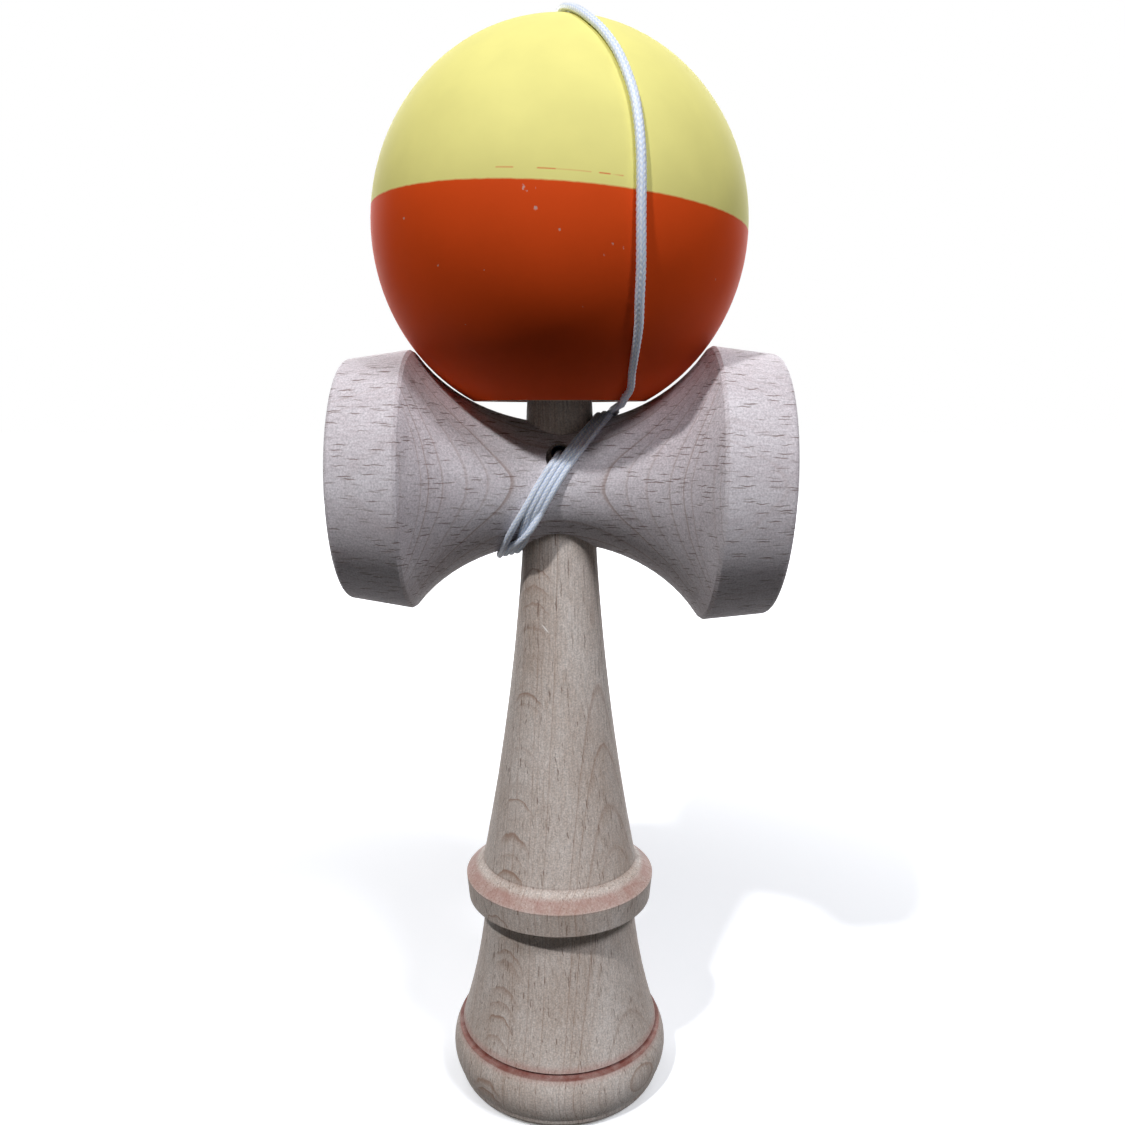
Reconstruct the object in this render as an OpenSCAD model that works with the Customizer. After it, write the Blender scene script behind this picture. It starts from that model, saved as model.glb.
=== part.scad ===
// Kendama: a wooden cup-and-ball toy, stowed with its ball on the spike and its string wound on
// Millimetres. The origin is the centre of the base cup's rim, +Z runs up the spike and +X to the big cup

/* [Ball] */
// Diameter of the ball
ball_d = 59.4; // [57:0.1:66]
// Diameter of the bore that takes the spike
ball_bore_d = 21.5; // [20:0.5:24]
// Diameter of the bevelled mouth of the bore
ball_mouth_d = 28.5; // [27.5:0.5:31]
// Height of the bevel at the mouth of the bore
ball_mouth_h = 3.6; // [2.5:0.1:5]
// Wood left between the end of the bore and the top
ball_crown_t = 7; // [5.5:0.5:9]
// Diameter of the string hole in the top
ball_string_hole_d = 4; // [3:0.5:5]
// Diameter of the countersink round the string hole
ball_countersink_d = 6.6; // [5.6:0.2:8]

/* [Crosspiece] */
// Length over both cups
sarado_l = 70.6; // [68:0.2:80]
// Diameter of the waist between the cups
waist_d = 20; // [18.4:0.2:20.4]
// Share of an ellipse's quarter that each flare takes, a low one for an open curve
flare_share = 0.86; // [0.7:0.01:0.9]
// Width of the plain band round each cup
band_w = 10.9; // [9:0.1:12.5]
// Angle that the crosspiece leans on its seat until the ball rests on both cups
sarado_lean = 0.8; // [0:0.1:1]
// Diameter of the big cup at its ridge
big_ridge_d = 45.4; // [42:0.2:47]
// Diameter of the big cup at its rim
big_rim_d = 43.2; // [40.5:0.2:45]
// Diameter of the big cup's mouth
big_mouth_d = 38.6; // [34:0.2:39]
// Depth of the big cup
big_cup_h = 9.2; // [6:0.1:10]
// Diameter of the small cup at its ridge
small_ridge_d = 42.8; // [40:0.2:45]
// Diameter of the small cup at its rim
small_rim_d = 39.8; // [38:0.2:42.5]
// Diameter of the small cup's mouth
small_mouth_d = 35.8; // [32:0.2:36.4]
// Depth of the small cup
small_cup_h = 7.8; // [5:0.1:9]
// Width of the bevel along each ridge
ridge_bevel = 0.4; // [0.3:0.1:1.2]
// Rounding of each cup's rim
rim_round = 1; // [0.5:0.1:1.4]
// Diameter of the string hole in the front
sarado_string_hole_d = 4.4; // [4:0.1:5]

/* [Ken] */
// Height of the shaft from the collar to the crosspiece's axis
shaft_h = 68; // [60:0.5:80]
// Diameter of the shaft where it meets the collar
shaft_bottom_d = 28; // [25:0.2:30]
// Diameter of the shaft at the lower end of its seat
shaft_top_d = 12.9; // [11.8:0.1:13.4]
// Hollow of the shaft's long curve
shaft_hollow = 0.9; // [0:0.1:2]
// Diameter of the spike at the upper end of its seat
spike_base_d = 11; // [10.4:0.1:11.6]
// Diameter of the spike below its rounded tip
spike_tip_d = 6.4; // [5:0.1:8]
// Height of the rounded tip
spike_tip_h = 3.4; // [2:0.1:5]
// Length of the tapered seat in the crosspiece
seat_l = 24; // [22.5:0.5:28]
// Diameter of the string's cross hole
cross_hole_d = 2.8; // [2.4:0.1:3.2]
// Diameter of the pocket for the knot
knot_pocket_d = 5.6; // [5.2:0.1:6]

/* [Base] */
// Greatest diameter of the foot
foot_d = 40.4; // [38.6:0.2:43]
// Height of the foot up to its ledge
foot_h = 10.4; // [8:0.1:14]
// Rounding of the foot's lower edge
foot_round = 2.2; // [1:0.1:3]
// Diameter of the ledge's outer edge
ledge_d = 38.2; // [37.4:0.2:38.4]
// Diameter of the base cup's mouth
base_mouth_d = 32; // [28:0.2:32.8]
// Depth of the base cup
base_cup_h = 7.4; // [4:0.1:9]
// Height of the neck from the ledge to the collar
neck_h = 24.6; // [18:0.2:32]
// Diameter of the neck at the ledge
neck_bottom_d = 36.8; // [36:0.2:37]
// Diameter of the neck under the collar
neck_top_d = 27.4; // [25:0.2:29]
// Hollow of the neck's curve
neck_hollow = 0.65; // [0:0.05:1]
// Width of the burnt groove at the ledge
groove_w = 0.8; // [0.4:0.1:1.2]
// Depth of the burnt groove
groove_t = 0.5; // [0.2:0.1:0.8]
// Greatest diameter of the collar
collar_d = 34.4; // [31.5:0.1:36]
// Diameter of the collar's lower edge
collar_low_d = 33.6; // [31:0.1:35]
// Height of the collar's upper bevel
collar_bevel_h = 2.9; // [1.5:0.1:4]
// Height of the collar's band
collar_band_h = 4.3; // [3:0.1:6]
// Height of the collar's undercut
collar_under_h = 1.7; // [0.8:0.1:3]

/* [String] */
// Diameter of the braided string
string_d = 1.3; // [1.1:0.05:1.4]
// Angle of the hole where the winding starts, above the front
start_angle = 28; // [26:1:32]
// Full turns of the winding before its last climb over the top
full_turns = 3; // [2:1:3]
// Diameter of the knot inside the ken
ken_knot_d = 4.6; // [4.4:0.1:5]
// Diameter of the knot inside the ball
bead_knot_d = 3.4; // [3:0.1:4]

/* [Bead] */
// Diameter of the bead inside the ball
bead_d = 7; // [6:0.5:8]
// Diameter of the hole through the bead
bead_hole_d = 2; // [1.8:0.1:2.4]

/* [Hidden] */
$fn = 96;
overrun = 1;
beech = "burlywood";
beech_pale = "wheat";
ball_yellow = "khaki";
ball_orange = "orangered";
nylon = "whitesmoke";

// Clearances: ball on the crosspiece, taper in its bore, string on the wood, strands beside each other
ball_gap = 0.12;
seat_gap = 0.06;
string_gap = 0.25;
strand_gap = 0.74;
bead_gap = 0.2;
tip_gap = 2.2;

// Heights up the axis
ledge_z = foot_h;
neck_top_z = ledge_z + neck_h;
collar_top_z = neck_top_z + collar_under_h + collar_band_h + collar_bevel_h;
sarado_z = collar_top_z + shaft_h;
seat_bottom_z = sarado_z - seat_l / 2;
seat_top_z = sarado_z + seat_l / 2;

// The crosspiece's flares are parts of ellipses that start level at the waist and end at the ridges
waist_r = waist_d / 2;
half_l = sarado_l / 2;
ridge_x = half_l - band_w;
function flare_rise(t) = 1 - sqrt(1 - pow(flare_share * t, 2));
function flare_scale(ridge_d) = (ridge_d / 2 - waist_r) / flare_rise(1);
function flare(x, ridge_d) = waist_r + flare_scale(ridge_d) * flare_rise(x / ridge_x);
function flare_slope(x, ridge_d) =
  let (t = x / ridge_x)
  flare_scale(ridge_d) * pow(flare_share, 2) * t / (1 - flare_rise(t)) / ridge_x;

// The ball rests where the leaning flares hold it highest, at a ridge or at the edge of its mouth
ball_r = ball_d / 2;
mouth_r = ball_mouth_d / 2;
mouth_drop = sqrt(ball_r * ball_r - mouth_r * mouth_r);
rest_steps = 48;
function leaned(x, r) =
  [x * cos(sarado_lean) + r * sin(sarado_lean), r * cos(sarado_lean) - x * sin(sarado_lean)];
function ball_over(p) = p[1] + sqrt(pow(ball_r + ball_gap, 2) - pow(max(abs(p[0]), mouth_r), 2));
function rest_h(ridge_d, side) =
  max([
    for (i = [0:rest_steps])
      let (x = ridge_x * i / rest_steps)
      ball_over(leaned(side * x, flare(x, ridge_d)))
  ]);
ball_z = sarado_z + max(rest_h(big_ridge_d, 1), rest_h(small_ridge_d, -1));
mouth_z = ball_z - mouth_drop;
bore_end_z = ball_z + ball_r - ball_crown_t;
countersink_z = ball_z + sqrt(ball_r * ball_r - pow(ball_countersink_d / 2, 2));
countersink_h = (ball_countersink_d - ball_string_hole_d) / 2;

// Bead and knot hang from the end of the bore, and the spike ends below them
bead_z = bore_end_z - bead_gap - bead_d / 2;
bead_knot_top_z = bead_z - bead_d / 2 - bead_gap;
bead_knot_flat_share = 0.4;
bead_knot_z = bead_knot_top_z - bead_knot_d * bead_knot_flat_share;
spike_z = bead_knot_z - bead_knot_d / 2 - tip_gap;

// Radius of the ken's tapered seat at a height
seat_slope = (shaft_top_d - spike_base_d) / 2 / seat_l;
function seat_r(z) = shaft_top_d / 2 - (z - seat_bottom_z) * seat_slope;

// Depth of the pocket in the ken's back for the knot
pocket_share = 0.12;
pocket_y = seat_r(sarado_z) * pocket_share;
knot_flat_share = 0.4;

// The string: its lane round the crosspiece runs right of the spike and left of the shaft
string_r = string_d / 2;
lane = string_d + strand_gap;
turn_angle = 360;
top_angle = 90;
first_top = (start_angle + turn_angle - top_angle) / turn_angle;
last_bottom = (start_angle + top_angle) / turn_angle + full_turns;
last_top = first_top + full_turns;
clear_top = seat_r(sarado_z + waist_r) + string_r + string_gap;
clear_bottom = seat_r(sarado_z - waist_r) + string_r + string_gap;
swing = (clear_top + clear_bottom + lane * (last_bottom - first_top)) / 2;
lane_start = clear_top - swing - lane * first_top;
front_share = 0.68;
loop_rings = 24;
winding_sides = 6;
free_sides = 8;

function lane_x(turn, s) =
  lane_start + lane * turn + swing * s * (front_share + (1 - front_share) * s * s);
function lane_r(x) =
  let (ridge_d = x > 0 ? big_ridge_d : small_ridge_d)
  flare(x, ridge_d) + (string_r + string_gap) * sqrt(1 + pow(flare_slope(x, ridge_d), 2));
function lane_point(turn) =
  let (a = start_angle - turn * turn_angle, x = lane_x(turn, sin(a)), r = lane_r(x))
  [x, -r * cos(a), sarado_z + r * sin(a)];

// The lead comes from the knot in the ken, out of the crosspiece's hole and bends into the lane
sarado_hole_z = sarado_z + waist_r * sin(start_angle);
hole_z = lane_point(0)[2];
knot_face_y = pocket_y + string_gap;
knot_y = knot_face_y + ken_knot_d * knot_flat_share;
lead_bend_share = 1.6;
lead_bend = string_d * lead_bend_share;
lead_corner = lane_point(0);
lane_dir = unit(lane_point(1 / loop_rings) - lead_corner);
lead_sway_share = 0.5;
lead_points = [
  [0, knot_face_y, hole_z],
  [0, knot_face_y - string_d, hole_z],
  [0, -seat_r(hole_z) + string_d, hole_z],
  [lead_corner[0] * lead_sway_share, (lead_corner[1] + lead_bend - seat_r(hole_z)) / 2, hole_z]
];
lead_in = [lead_corner[0], lead_corner[1] + lead_bend, hole_z];
lead_out = lead_corner + lane_dir * lead_bend;
bend_rings = 5;
bend_points = [for (i = [0:bend_rings]) curve(lead_in, lead_corner, lead_out, i / bend_rings)];
lane_rings = ceil(last_top * loop_rings);
lane_points = [for (i = [2:lane_rings]) lane_point(last_top * i / lane_rings)];
end_out = lane_point(last_top) - [0, string_d, 0];
winding_points = concat(lead_points, bend_points, lane_points, [end_out]);

// From the winding the string comes forward under the ball: places seen from the crosspiece's centre
under_points = [
  [12, -5, 12.8],
  [11.4, -8.6, 11.6],
  [10.9, -11.4, 11.7],
  [10.6, -13.6, 13]
];
// Then it climbs the ball: angle right of the front, and angle above the ball's middle
climb_angles = [
  [34, -52], [30, -46], [27, -39], [25, -32], [23, -25], [22, -18], [21, -11], [20, -4], [20, 3],
  [20, 10], [20, 17], [20, 24], [19, 31], [18, 38], [16, 46], [13, 54], [10, 62], [6, 70], [3, 78]
];
climb_r = ball_r + string_r + string_gap;
function on_ball(a) =
  [0, 0, ball_z] + climb_r * [cos(a[1]) * sin(a[0]), -cos(a[1]) * cos(a[0]), sin(a[1])];
drop_bend_share = 2.4;
drop_bend = string_d * drop_bend_share;
drop_z = ball_z + climb_r;
drop_points = [
  for (i = [0:bend_rings])
    curve([0, -drop_bend, drop_z], [0, 0, drop_z], [0, 0, drop_z - drop_bend], i / bend_rings)
];
tail_points = [[0, 0, bead_z], [0, 0, bead_knot_top_z]];
over_points = concat(
  [end_out, end_out - [0, string_d, 0]],
  [for (p = under_points) p + [0, 0, sarado_z]],
  [for (a = climb_angles) on_ball(a)],
  drop_points,
  tail_points
);

function unit(v) = v / norm(v);
function curve(a, b, c, t) = (1 - t) * (1 - t) * a + 2 * t * (1 - t) * b + t * t * c;
function bow(p, q, hollow, steps) =
  let (along = q - p, aside = [-along[1], along[0]] / norm(along))
  [for (i = [0:steps]) let (t = i / steps) p + along * t + aside * hollow * 4 * t * (1 - t)];
function quarter(middle, size, from, steps) =
  [for (i = [0:steps]) let (a = from + i * 90 / steps) middle + [size[0] * cos(a), size[1] * sin(a)]];

// A tube is swept along its points with a frame that is carried from ring to ring
function headings(p) =
  [for (i = [0:len(p) - 1]) unit(p[min(i + 1, len(p) - 1)] - p[max(i - 1, 0)])];
function carried(t, side, i = 0) =
  i == len(t) ? [] :
  let (s = unit(side - (side * t[i]) * t[i]))
  concat([s], carried(t, s, i + 1));

module tube(p, r, sides, side) {
  n = len(p);
  t = headings(p);
  s = carried(t, side);
  rings = [
    for (i = [0:n - 1], j = [0:sides - 1])
      let (a = j * turn_angle / sides)
      p[i] + r * (cos(a) * s[i] + sin(a) * cross(t[i], s[i]))
  ];
  walls = [
    for (i = [0:n - 2], j = [0:sides - 1])
      let (k = (j + 1) % sides, low = i * sides, high = low + sides)
      each [[low + j, high + k, low + k], [low + j, high + j, high + k]]
  ];
  last = (n - 1) * sides;
  ends = [
    for (j = [1:sides - 2])
      each [[0, j, j + 1], [last, last + j + 1, last + j]]
  ];
  polyhedron(points = rings, faces = concat(walls, ends));
}

// Outline of one half of the crosspiece, from the waist to the end of a cup
flare_steps = 16;
round_steps = 5;
bevel_shares = [0.6, 0.8];
function half_outline(ridge_d, rim_d) = concat(
  [
    for (i = [0:flare_steps])
      let (x = (ridge_x - ridge_bevel * bevel_shares[0]) * i / flare_steps)
      [flare(x, ridge_d), x]
  ],
  [[ridge_d / 2, ridge_x + ridge_bevel * bevel_shares[1]]],
  quarter([rim_d / 2 - rim_round, half_l - rim_round], [rim_round, rim_round], 0, round_steps),
  [[0, half_l], [0, 0]]
);

module cup_half(ridge_d, rim_d, mouth_d, cup_h) {
  dish_r = (pow(mouth_d / 2, 2) + cup_h * cup_h) / (2 * cup_h);
  difference() {
    rotate_extrude() polygon(half_outline(ridge_d, rim_d));
    translate([0, 0, half_l - cup_h + dish_r]) sphere(dish_r);
  }
}

module sarado() {
  color(beech_pale) difference() {
    translate([0, 0, sarado_z]) rotate([0, sarado_lean, 0]) {
      rotate([0, 90, 0]) cup_half(big_ridge_d, big_rim_d, big_mouth_d, big_cup_h);
      rotate([0, -90, 0]) cup_half(small_ridge_d, small_rim_d, small_mouth_d, small_cup_h);
    }
    translate([0, 0, seat_bottom_z])
      cylinder(h = seat_l, r1 = shaft_top_d / 2 + seat_gap, r2 = spike_base_d / 2 + seat_gap);
    translate([0, 0, sarado_hole_z])
      rotate([90, 0, 0]) cylinder(h = half_l, d = sarado_string_hole_d);
  }
}

// Outline of the ken, from the base cup's rim up to the tip of the spike
bow_steps = 12;
foot_rim_r = ledge_d / 2;
foot_belly = (foot_d - ledge_d) / 2;
groove_r = neck_bottom_d / 2 - groove_t;
ken_outline = concat(
  [[0, 0]],
  quarter([foot_rim_r - foot_round, foot_round], [foot_round, foot_round], -90, round_steps),
  bow([foot_rim_r, foot_round], [foot_rim_r, ledge_z], -foot_belly, bow_steps),
  [
    [neck_bottom_d / 2, ledge_z],
    [groove_r, ledge_z + groove_w / 2],
    [neck_bottom_d / 2, ledge_z + groove_w]
  ],
  bow([neck_bottom_d / 2, ledge_z + groove_w], [neck_top_d / 2, neck_top_z], neck_hollow, bow_steps),
  [
    [collar_low_d / 2, neck_top_z + collar_under_h],
    [collar_d / 2, neck_top_z + collar_under_h + collar_band_h]
  ],
  bow([shaft_bottom_d / 2, collar_top_z], [shaft_top_d / 2, seat_bottom_z], shaft_hollow, bow_steps),
  [
    [spike_base_d / 2, seat_top_z],
    [spike_tip_d / 2, spike_z - spike_tip_h]
  ],
  quarter([0, spike_z - spike_tip_h], [spike_tip_d / 2, spike_tip_h], 0, round_steps)
);

module ken() {
  dish_r = (pow(base_mouth_d / 2, 2) + base_cup_h * base_cup_h) / (2 * base_cup_h);
  color(beech) difference() {
    rotate_extrude() polygon(ken_outline);
    translate([0, 0, base_cup_h - dish_r]) sphere(dish_r);
    translate([0, foot_d / 2, hole_z])
      rotate([90, 0, 0]) cylinder(h = foot_d, d = cross_hole_d);
    translate([0, foot_d / 2, hole_z])
      rotate([90, 0, 0]) cylinder(h = foot_d / 2 - pocket_y, d = knot_pocket_d);
  }
}

module ball_wood() {
  difference() {
    translate([0, 0, ball_z]) sphere(ball_r);
    translate([0, 0, mouth_z - ball_r]) cylinder(h = bore_end_z - mouth_z + ball_r, d = ball_bore_d);
    translate([0, 0, mouth_z])
      cylinder(h = ball_mouth_h, d1 = ball_mouth_d, d2 = ball_bore_d);
    translate([0, 0, mouth_z - ball_r]) cylinder(h = ball_r, d = ball_mouth_d);
    translate([0, 0, bore_end_z - overrun])
      cylinder(h = ball_crown_t + 2 * overrun, d = ball_string_hole_d);
    translate([0, 0, countersink_z - countersink_h])
      cylinder(h = countersink_h, d1 = ball_string_hole_d, d2 = ball_countersink_d);
    translate([0, 0, countersink_z]) cylinder(h = ball_crown_t, d = ball_countersink_d);
  }
}

// The paint meets at the ball's middle: yellow above, orange below
module tama() {
  union() {
    color(ball_orange) ball_wood();
    color(ball_yellow) intersection() {
      ball_wood();
      translate([-ball_d, -ball_d, ball_z]) cube(2 * ball_d);
    }
  }
}

module string_bead() {
  color(beech) translate([0, 0, bead_z]) difference() {
    sphere(d = bead_d);
    cylinder(h = bead_d + 2 * overrun, d = bead_hole_d, center = true);
  }
}

// A knot is a ball with a flat face where the string runs into it
module knot(d, flat_share) {
  difference() {
    sphere(d = d);
    translate([-d, -d, d * flat_share]) cube(2 * d);
  }
}

module bead_knot() {
  color(nylon) translate([0, 0, bead_knot_z]) knot(bead_knot_d, bead_knot_flat_share);
}

module ken_knot() {
  color(nylon) translate([0, knot_y, hole_z])
    rotate([90, 0, 0]) knot(ken_knot_d, knot_flat_share);
}

module string_winding() {
  color(nylon) tube(winding_points, string_r, winding_sides, [0, 0, 1]);
}

module string_over_ball() {
  color(nylon) tube(over_points, string_r, free_sides, [0, 0, 1]);
}

// Least gap of the winding to itself, between strands half a turn or more apart
apart = loop_rings / 2;
strand_space = min([
  for (i = [0:len(winding_points) - 1 - apart])
    min([for (j = [i + apart:len(winding_points) - 1]) norm(winding_points[i] - winding_points[j])])
]);
echo("least gap of the winding to itself", strand_space - string_d);

ken();
sarado();
tama();
string_bead();
bead_knot();
ken_knot();
string_winding();
string_over_ball();
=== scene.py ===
import math

import bpy
import numpy as np
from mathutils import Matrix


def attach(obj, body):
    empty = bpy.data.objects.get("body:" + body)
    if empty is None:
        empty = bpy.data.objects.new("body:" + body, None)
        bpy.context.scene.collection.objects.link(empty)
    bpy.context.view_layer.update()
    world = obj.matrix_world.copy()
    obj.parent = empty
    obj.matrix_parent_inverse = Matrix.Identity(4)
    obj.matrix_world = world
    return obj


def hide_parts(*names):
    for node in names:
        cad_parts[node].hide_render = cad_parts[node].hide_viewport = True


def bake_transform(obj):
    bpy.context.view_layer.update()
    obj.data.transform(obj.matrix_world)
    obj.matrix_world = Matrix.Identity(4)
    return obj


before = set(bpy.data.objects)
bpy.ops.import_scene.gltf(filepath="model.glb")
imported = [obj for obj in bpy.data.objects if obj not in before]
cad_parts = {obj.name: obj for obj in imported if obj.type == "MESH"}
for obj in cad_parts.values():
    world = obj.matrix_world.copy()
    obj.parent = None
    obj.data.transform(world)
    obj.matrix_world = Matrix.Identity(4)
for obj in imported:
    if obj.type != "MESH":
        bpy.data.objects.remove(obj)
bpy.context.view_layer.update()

mm = 0.001
perMm = (1 / mm,) * 3       # mapping scale from metres to mm
noiseSpan = (0.3, 0.7)      # where most of a noise texture's values lie


def linear(hexCode):
    # sRGB hex to the linear colour that the sockets take
    parts = [int(hexCode[i:i + 2], 16) / 255 for i in (1, 3, 5)]
    return [c / 12.92 if c <= 0.04045 else ((c + 0.055) / 1.055) ** 2.4 for c in parts] + [1.0]


def addNode(tree, kind, links=None, stops=None, **settings):
    # a link is a socket, a node (its first output) or a plain value; stops fill a colour ramp
    node = tree.nodes.new(kind)
    for name, value in settings.items():
        setattr(node, name, value)
    if stops:
        ramp = node.color_ramp.elements
        while len(ramp) < len(stops):
            ramp.new(1.0)
        for element, (place, grey) in zip(ramp, stops):
            element.position = place
            element.color = (grey, grey, grey, 1.0)
    for socket, value in (links or {}).items():
        if isinstance(value, bpy.types.Node):
            value = value.outputs[0]
        if isinstance(value, bpy.types.NodeSocket):
            tree.links.new(value, node.inputs[socket])
        else:
            node.inputs[socket].default_value = value
    return node


def newMaterial(name):
    material = bpy.data.materials.new(name)
    material.use_nodes = True
    return material, material.node_tree, material.node_tree.nodes["Principled BSDF"]


def addObject(name, data):
    thing = bpy.data.objects.new(name, data)
    bpy.context.scene.collection.objects.link(thing)
    return thing


def outward(right, up):
    # unit vector, by degrees right of the front and degrees above level
    right, up = math.radians(right), math.radians(up)
    return math.cos(up) * math.sin(right), -math.cos(up) * math.cos(right), math.sin(up)


# Camera: the photo was taken from close by, a little above the crosspiece and looking down
view = {
    "distance": 158.37,             # from the kendama's axis, mm
    "height": 123.45,               # above the floor, mm
    "pitch": 0.2224,                # radians below level
    "lens": 29.628, "sensor": 36.0,
    "shift": (0.0026, 0.0538),
    "clip": (0.005, 20.0),          # m
}
camData = bpy.data.cameras.new("camera")
camData.lens = view["lens"]
camData.sensor_width = view["sensor"]
camData.shift_x, camData.shift_y = view["shift"]
camData.clip_start, camData.clip_end = view["clip"]
camera = addObject("camera", camData)
camera.location = (0.0, -view["distance"] * mm, view["height"] * mm)
camera.rotation_euler = (math.pi / 2 - view["pitch"], 0.0, 0.0)
bpy.context.scene.camera = camera
print("stage: camera")


# String: one braided nylon string from the knot in the ken, wound on the crosspiece and drawn
# over the ball; lengths in mm, angles in degrees
wood = {
    "waistR": 10.0, "ridgeX": 24.4, "bigR": 22.7, "smallR": 21.4,
    "flareShare": 0.86,             # share of an ellipse's quarter that the flare takes up
    "lean": math.radians(0.8),      # the big cup's end hangs a little
    "axisZ": 111.9,
}
ball = {"radius": 29.7, "middleZ": 151.52}
string = {
    "diameter": 1.3,
    "onBall": (0.7, 0.56),          # half width and half thickness, drawn flat over the ball
    "inWinding": (0.54, 0.6),       # the same, squeezed between its neighbours
    "pitch": 0.98,                  # from strand to strand in the winding
    "startAngle": 28.0,             # of the hole, above the front
    "turns": 3.8278,                # from the hole to the last pass over the top
    "middleTurn": 1.9,              # the turn that keeps to the lane's middle
    "middle": -0.6,                 # the lane swings about here, right on top and left below
    "swing": 8.0,
    "squareness": 0.9,              # 1 gives straight slants with sharp turns
    "frontBow": 1.3,                # how far the slant sags left on the front
    "clear": 0.04,
    # low on the front the last strand crosses two others and behind it crosses back, and the
    # first one bows to the left: each from an angle downwards, over so many degrees
    "crossOver": (-20.0, 40.0), "crossBack": (-112.0, 60.0), "firstBow": (-8.0, 72.0),
    "hump": 1.25, "humpRound": 0.7,     # of the crossing strand
    "bowOut": 0.45,
    # the route, from the knot in the ken: lead and under from the crosspiece's axis, climb in
    # degrees right of the front and above the ball's middle, crown and hole from that middle
    "lead": [(0.0, 0.96, 5.1), (0.0, -1.0, 5.1), (0.0, -3.4, 5.1), (-0.1, -6.0, 5.1)],
    "leadBend": 2.6,                # reach of the bend from the hole into the lane
    "bendSteps": 5,
    "bendTurn": 0.02,               # turns to the point that gives the lane's direction
    "bendGap": 0.012,               # turns left free after the bend
    "laneSteps": 420,
    "under": [
        (8.6, -3.2, 12.1), (8.9, -6.4, 12.45), (9.2, -9.2, 12.75), (9.6, -11.5, 13.05),
        (10.0, -13.0, 14.0),
    ],
    "climb": [
        (36, -54), (31, -47), (27.8, -40), (25.5, -32), (23.5, -25), (22.3, -18), (21.3, -11),
        (20.7, -4), (20.6, 3), (20.7, 10), (20.7, 17), (20.5, 24), (19.7, 31), (18.6, 38),
        (16.4, 46), (13.2, 54), (10, 62), (6, 70), (3, 78),
    ],
    "firstOff": 0.25,               # the climb's first point stands off the ball
    "flatAfter": 4,                 # points of the climb until it lies flat
    "crown": [(0.0, -3.4, 30.05), (0.0, -1.9, 29.7)],
    "hole": [
        (0.0, -0.75, 28.6), (0.0, -0.2, 26.7), (0.0, 0.0, 23.7), (0.0, 0.0, 19.7), (0.0, 0.0, 15.2),
    ],
    "crownOut": (0, -0.25, 1), "holeOut": (0, -1, 0.15),
    # the braid
    "step": 0.15,                   # between rings
    "sides": 24,
    "columns": 8,                   # of stitches round the braid
    "stitch": 0.78,                 # length of one stitch
    "slant": 0.9,                   # stitches that a column leans across its width
    "crest": 0.6,                   # 1 gives narrow stitches, 0 square ones
    "relief": 0.16,                 # how far a stitch stands out, as a share of the radius
    "reliefMiddle": 0.6,            # stitch height that lies on the plain tube
}


def ease(t):
    t = min(max(t, 0.0), 1.0)
    return t * t * (3 - 2 * t)


def laneRadius(x, lift):
    # height of a strand's middle above the crosspiece's axis, lying on the flare
    rise = (wood["bigR"] if x > 0 else wood["smallR"]) - wood["waistR"]
    share = wood["flareShare"]
    root = math.sqrt(1 - (share * x / wood["ridgeX"]) ** 2)
    tall = rise / (1 - math.sqrt(1 - share ** 2))
    slope = tall * share ** 2 * x / wood["ridgeX"] ** 2 / root
    return wood["waistR"] + tall * (1 - root) + lift * math.sqrt(1 + slope ** 2)


def lanePoint(turn):
    angle = string["startAngle"] - 360.0 * turn
    phi = (angle + 180.0) % 360.0 - 180.0       # 0 is the front, 90 the top
    strand = round(turn - (string["startAngle"] - phi) / 360.0)
    a = math.radians(phi)
    square = string["squareness"]
    x = string["middle"] + string["swing"] * math.asin(square * math.sin(a)) / math.asin(square)
    if math.cos(a) > 0:
        x -= string["frontBow"] * math.cos(a) ** 2
    x += string["pitch"] * (turn - string["middleTurn"])
    lift = string["inWinding"][1] + string["clear"]
    over, back, bow = (
        ease((start - phi) / span)
        for start, span in (string["crossOver"], string["crossBack"], string["firstBow"])
    )
    if strand == 3:
        x -= 2 * string["pitch"] * over * (1 - back)
        crossing = max(math.sin(math.pi * over), math.sin(math.pi * back))
        lift += string["hump"] * crossing ** string["humpRound"]
    if strand in (1, 2):
        x += string["pitch"] * over * (1 - back)
    if strand == 0:
        x -= string["bowOut"] * math.sin(math.pi * bow)
    r = laneRadius(x, lift)
    up, lean = r * math.sin(a), wood["lean"]
    point = (
        x * math.cos(lean) + up * math.sin(lean),
        -r * math.cos(a),
        wood["axisZ"] + up * math.cos(lean) - x * math.sin(lean),
    )
    return point, (0.0, -math.cos(a), math.sin(a))


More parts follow.
